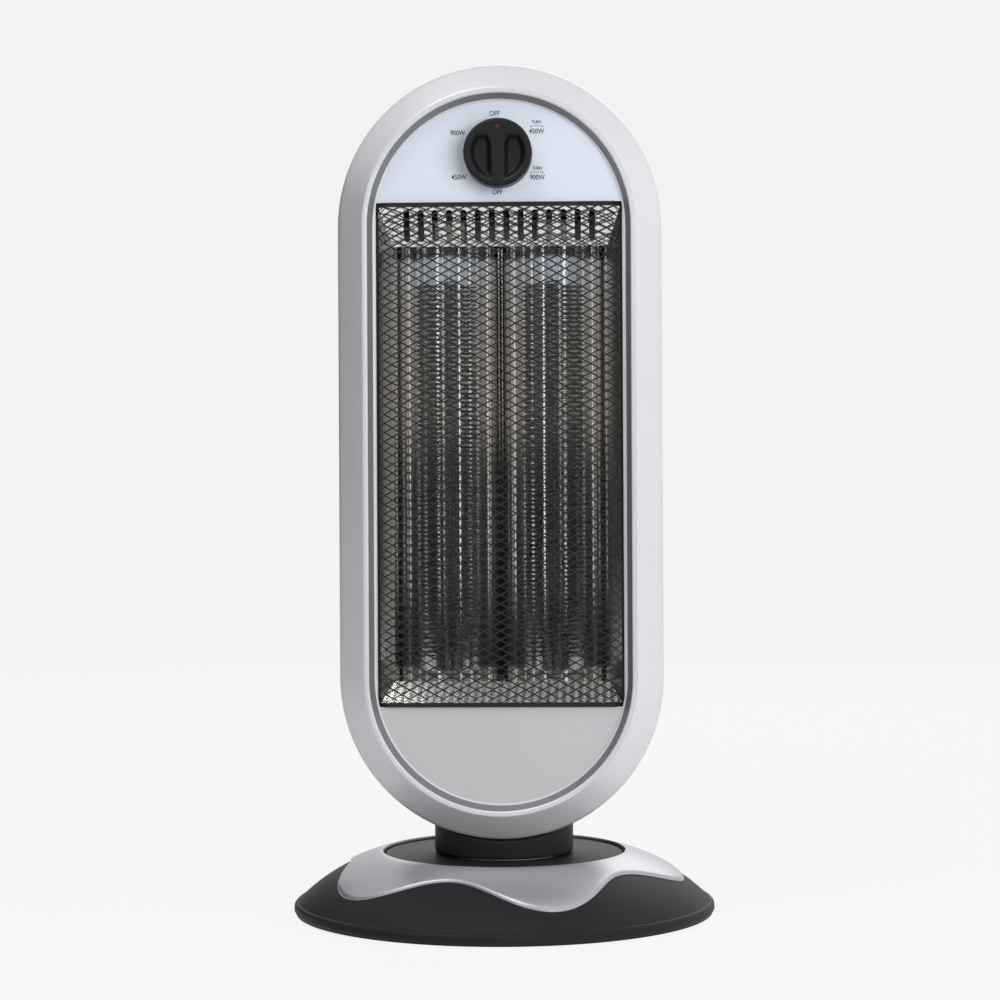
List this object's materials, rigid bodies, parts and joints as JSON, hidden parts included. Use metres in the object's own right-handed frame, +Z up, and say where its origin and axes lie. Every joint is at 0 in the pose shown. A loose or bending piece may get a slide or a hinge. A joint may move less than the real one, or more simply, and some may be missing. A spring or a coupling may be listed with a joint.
{
  "type": "carbon heater",
  "caption": "Floor-standing swinging carbon heater with a stadium-shaped silver head, quartz tubes behind a wire guard, a rotary dial and a round black base with a wavy silver collar.",
  "frame": {"origin": "centre of the base at floor level, on the swivel axis", "axes": "+Z up, the front faces -Y, +X to the right seen from the front"},
  "size_m": [0.29, 0.29, 0.5808],
  "materials": {
    "silver_plastic": "satin metallic paint",
    "panel_silver": "fine satin",
    "black_wire": "semi-gloss enamel",
    "polished_steel": "mirror polished",
    "quartz": "polished",
    "carbon": "dull, slightly metallic",
    "ceramic_white": "unglazed",
    "plated_steel": "zinc plated",
    "black_plastic": "fine satin",
    "black_gloss": "semi-gloss",
    "red_dot": "printed inlay",
    "wire_cover": "dull",
    "natural_plastic": "moulded",
    "rubber_black": "dull"
  },
  "bodies": {
    "base": {"spigot_bush": "natural_plastic", "glide_ring": "natural_plastic", "swing_motor": "plated_steel", "motor_screws": "plated_steel", "base_cover": "black_plastic", "base_trim": "silver_plastic", "base_disc": "black_plastic", "base_plate": "plated_steel", "base_screws": "plated_steel", "rubber_feet": "rubber_black", "cord_gland": "rubber_black", "tip_switch": "black_plastic", "plunger_spring": "plated_steel", "base_terminal_block": "ceramic_white", "base_wiring": "wire_cover"},
    "head": {"front_bezel": "silver_plastic", "front_panel": "panel_silver", "guard_mesh": "black_wire", "guard_rails": "black_wire", "reflector": "polished_steel", "reflector_top_plate": "polished_steel", "reflector_bottom_plate": "polished_steel", "quartz_tube_left": "quartz", "quartz_tube_right": "quartz", "heating_coil_left": "carbon", "heating_coil_right": "carbon", "tube_end_caps": "ceramic_white", "upper_bracket": "plated_steel", "lower_bracket": "plated_steel", "heat_shield": "plated_steel", "rear_cover": "black_plastic", "cover_screws": "plated_steel", "rotary_switch": "black_plastic", "switch_nut": "plated_steel", "thermal_cutout": "plated_steel", "head_terminal_block": "ceramic_white", "head_wiring": "wire_cover", "neck": "black_plastic", "neck_screws": "plated_steel", "swivel_spigot": "plated_steel", "spigot_screws": "plated_steel", "sector_gear": "natural_plastic", "retaining_plate": "plated_steel", "retaining_screws": "plated_steel"},
    "knob": {"control_knob": "black_gloss", "knob_marker": "red_dot", "switch_shaft": "plated_steel"},
    "pinion": {"drive_pinion": "natural_plastic", "motor_shaft": "plated_steel"},
    "plunger": {"tip_plunger": "black_plastic"}
  },
  "joints": [
    {"name": "head_swing", "type": "hinge", "parent": "base", "child": "head", "pos_m": [0, 0, 0.0424], "axis": [0, 0, 1], "range_deg": [-35, 35]},
    {"name": "knob_turn", "type": "hinge", "parent": "head", "child": "knob", "pos_m": [0, -0.052, 0.5186], "axis": [0, -1, 0], "continuous": true},
    {"name": "pinion_spin", "type": "hinge", "parent": "base", "child": "pinion", "pos_m": [0, 0.0525, 0.028], "axis": [0, 0, 1], "range_deg": [-145, 145]},
    {"name": "plunger_press", "type": "slide", "parent": "base", "child": "plunger", "axis": [0, 0, 1], "range_m": [-0.006, 0.0015], "stiffness_N_per_m": 60, "springref_m": -0.006, "deforming": ["plunger_spring"]}
  ],
  "couplings": [
    {"joint": "pinion_spin", "follows": "head_swing", "ratio": -4}
  ]
}
